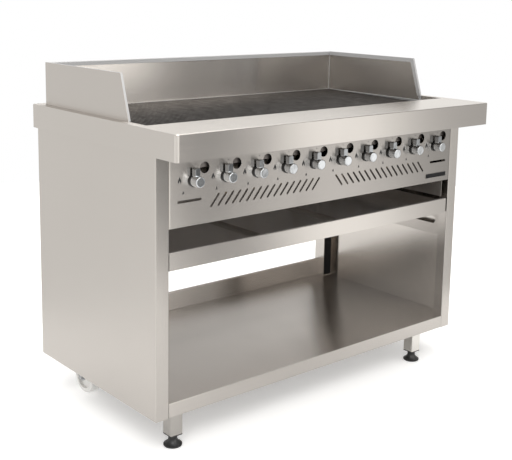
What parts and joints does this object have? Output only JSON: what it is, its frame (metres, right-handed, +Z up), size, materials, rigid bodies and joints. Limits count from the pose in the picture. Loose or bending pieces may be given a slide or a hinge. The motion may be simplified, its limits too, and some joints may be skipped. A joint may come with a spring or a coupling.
{
  "type": "gas charbroiler grill",
  "caption": "Free-standing stainless gas charbroiler grill with open grates, splash guard, knob panel, pull-out drip tray, open shelf, front feet and rear castors.",
  "frame": {"origin": "on the floor under the centre of the worktop's outline, which is also the centre of the bounding box's underside", "axes": "+Z up, +X to the cook's right, +Y towards the back; the knobs face -Y"},
  "size_m": [1.2, 0.722, 0.972],
  "materials": {
    "brushed_stainless": "brushed, warm light grey, hemmed edges bright",
    "badge_metal": "satin, blank",
    "galvanised_steel": "zinc plated, dull",
    "brass_body": "machined, dull",
    "firebox_steel": "heat darkened, matt",
    "burner_steel": "satin, heat tinted",
    "tray_steel": "brushed, dark grey",
    "grate_steel": "dark oiled bars, slightly shiny",
    "chrome_handle": "polished",
    "black_foot": "black coated steel, satin",
    "black_plastic": "satin black",
    "nylon_wheel": "satin pale grey"
  },
  "bodies": {
    "cabinet": {"worktop": "brushed_stainless", "splash_guard": "brushed_stainless", "side_panel_left": "brushed_stainless", "side_panel_right": "brushed_stainless", "bottom_shelf": "brushed_stainless", "rear_panel": "brushed_stainless", "top_rails": "brushed_stainless", "control_panel": "brushed_stainless", "panel_baffle": "brushed_stainless", "badge_plate": "badge_metal", "gas_manifold": "galvanised_steel", "gas_valves": "brass_body", "injectors": "brass_body", "gas_supply": "galvanised_steel", "firebox": "firebox_steel", "burners": "burner_steel", "radiants": "firebox_steel", "lighting_tube": "burner_steel", "tray_runners": "brushed_stainless", "front_legs": "brushed_stainless", "leg_caps": "black_plastic", "castor_plates": "galvanised_steel", "castor_bolts": "galvanised_steel"},
    "knob_1": {"knob_1": "chrome_handle", "knob_collar_1": "black_plastic"},
    "knob_2": {"knob_2": "chrome_handle", "knob_collar_2": "black_plastic"},
    "knob_3": {"knob_3": "chrome_handle", "knob_collar_3": "black_plastic"},
    "knob_4": {"knob_4": "chrome_handle", "knob_collar_4": "black_plastic"},
    "knob_5": {"knob_5": "chrome_handle", "knob_collar_5": "black_plastic"},
    "knob_6": {"knob_6": "chrome_handle", "knob_collar_6": "black_plastic"},
    "knob_7": {"knob_7": "chrome_handle", "knob_collar_7": "black_plastic"},
    "knob_8": {"knob_8": "chrome_handle", "knob_collar_8": "black_plastic"},
    "knob_9": {"knob_9": "chrome_handle", "knob_collar_9": "black_plastic"},
    "knob_10": {"knob_10": "chrome_handle", "knob_collar_10": "black_plastic"},
    "grate_1": {"grate_1": "grate_steel"},
    "grate_2": {"grate_2": "grate_steel"},
    "grate_3": {"grate_3": "grate_steel"},
    "grate_4": {"grate_4": "grate_steel"},
    "grate_5": {"grate_5": "grate_steel"},
    "grate_6": {"grate_6": "grate_steel"},
    "grate_7": {"grate_7": "grate_steel"},
    "grate_8": {"grate_8": "grate_steel"},
    "drip_tray": {"drip_tray": "tray_steel"},
    "foot_left": {"foot_left": "black_foot"},
    "foot_right": {"foot_right": "black_foot"},
    "castor_fork_left": {"castor_fork_left": "galvanised_steel", "castor_axle_left": "galvanised_steel"},
    "castor_wheel_left": {"castor_wheel_left": "nylon_wheel"},
    "castor_fork_right": {"castor_fork_right": "galvanised_steel", "castor_axle_right": "galvanised_steel"},
    "castor_wheel_right": {"castor_wheel_right": "nylon_wheel"}
  },
  "joints": [
    {"name": "knob_1_turn", "type": "hinge", "parent": "cabinet", "child": "knob_1", "pos_m": [-0.47475, -0.26, 0.71], "axis": [0, -1, 0], "range_deg": [0, 140]},
    {"name": "knob_2_turn", "type": "hinge", "parent": "cabinet", "child": "knob_2", "pos_m": [-0.36925, -0.26, 0.71], "axis": [0, -1, 0], "range_deg": [0, 140]},
    {"name": "knob_3_turn", "type": "hinge", "parent": "cabinet", "child": "knob_3", "pos_m": [-0.26375, -0.26, 0.71], "axis": [0, -1, 0], "range_deg": [0, 140]},
    {"name": "knob_4_turn", "type": "hinge", "parent": "cabinet", "child": "knob_4", "pos_m": [-0.15825, -0.26, 0.71], "axis": [0, -1, 0], "range_deg": [0, 140]},
    {"name": "knob_5_turn", "type": "hinge", "parent": "cabinet", "child": "knob_5", "pos_m": [-0.05275, -0.26, 0.71], "axis": [0, -1, 0], "range_deg": [0, 140]},
    {"name": "knob_6_turn", "type": "hinge", "parent": "cabinet", "child": "knob_6", "pos_m": [0.05275, -0.26, 0.71], "axis": [0, -1, 0], "range_deg": [0, 140]},
    {"name": "knob_7_turn", "type": "hinge", "parent": "cabinet", "child": "knob_7", "pos_m": [0.15825, -0.26, 0.71], "axis": [0, -1, 0], "range_deg": [0, 140]},
    {"name": "knob_8_turn", "type": "hinge", "parent": "cabinet", "child": "knob_8", "pos_m": [0.26375, -0.26, 0.71], "axis": [0, -1, 0], "range_deg": [0, 140]},
    {"name": "knob_9_turn", "type": "hinge", "parent": "cabinet", "child": "knob_9", "pos_m": [0.36925, -0.26, 0.71], "axis": [0, -1, 0], "range_deg": [0, 140]},
    {"name": "knob_10_turn", "type": "hinge", "parent": "cabinet", "child": "knob_10", "pos_m": [0.47475, -0.26, 0.71], "axis": [0, -1, 0], "range_deg": [0, 140]},
    {"name": "grate_1_lift", "type": "slide", "parent": "cabinet", "child": "grate_1", "axis": [0, 0, 1], "range_m": [0, 0.1]},
    {"name": "grate_2_lift", "type": "slide", "parent": "cabinet", "child": "grate_2", "axis": [0, 0, 1], "range_m": [0, 0.1]},
    {"name": "grate_3_lift", "type": "slide", "parent": "cabinet", "child": "grate_3", "axis": [0, 0, 1], "range_m": [0, 0.1]},
    {"name": "grate_4_lift", "type": "slide", "parent": "cabinet", "child": "grate_4", "axis": [0, 0, 1], "range_m": [0, 0.1]},
    {"name": "grate_5_lift", "type": "slide", "parent": "cabinet", "child": "grate_5", "axis": [0, 0, 1], "range_m": [0, 0.1]},
    {"name": "grate_6_lift", "type": "slide", "parent": "cabinet", "child": "grate_6", "axis": [0, 0, 1], "range_m": [0, 0.1]},
    {"name": "grate_7_lift", "type": "slide", "parent": "cabinet", "child": "grate_7", "axis": [0, 0, 1], "range_m": [0, 0.1]},
    {"name": "grate_8_lift", "type": "slide", "parent": "cabinet", "child": "grate_8", "axis": [0, 0, 1], "range_m": [0, 0.1]},
    {"name": "drip_tray_slide", "type": "slide", "parent": "cabinet", "child": "drip_tray", "axis": [0, -1, 0], "range_m": [0, 0.45]},
    {"name": "foot_left_height", "type": "slide", "parent": "cabinet", "child": "foot_left", "axis": [0, 0, -1], "range_m": [0, 0.02]},
    {"name": "foot_right_height", "type": "slide", "parent": "cabinet", "child": "foot_right", "axis": [0, 0, -1], "range_m": [0, 0.02]},
    {"name": "castor_left_swivel", "type": "hinge", "parent": "cabinet", "child": "castor_fork_left", "pos_m": [-0.52, 0.233, 0.117], "axis": [0, 0, 1], "continuous": true},
    {"name": "castor_left_roll", "type": "hinge", "parent": "castor_fork_left", "child": "castor_wheel_left", "pos_m": [-0.52, 0.2, 0.05], "axis": [1, 0, 0], "continuous": true},
    {"name": "castor_right_swivel", "type": "hinge", "parent": "cabinet", "child": "castor_fork_right", "pos_m": [0.52, 0.233, 0.117], "axis": [0, 0, 1], "continuous": true},
    {"name": "castor_right_roll", "type": "hinge", "parent": "castor_fork_right", "child": "castor_wheel_right", "pos_m": [0.52, 0.2, 0.05], "axis": [1, 0, 0], "continuous": true}
  ]
}
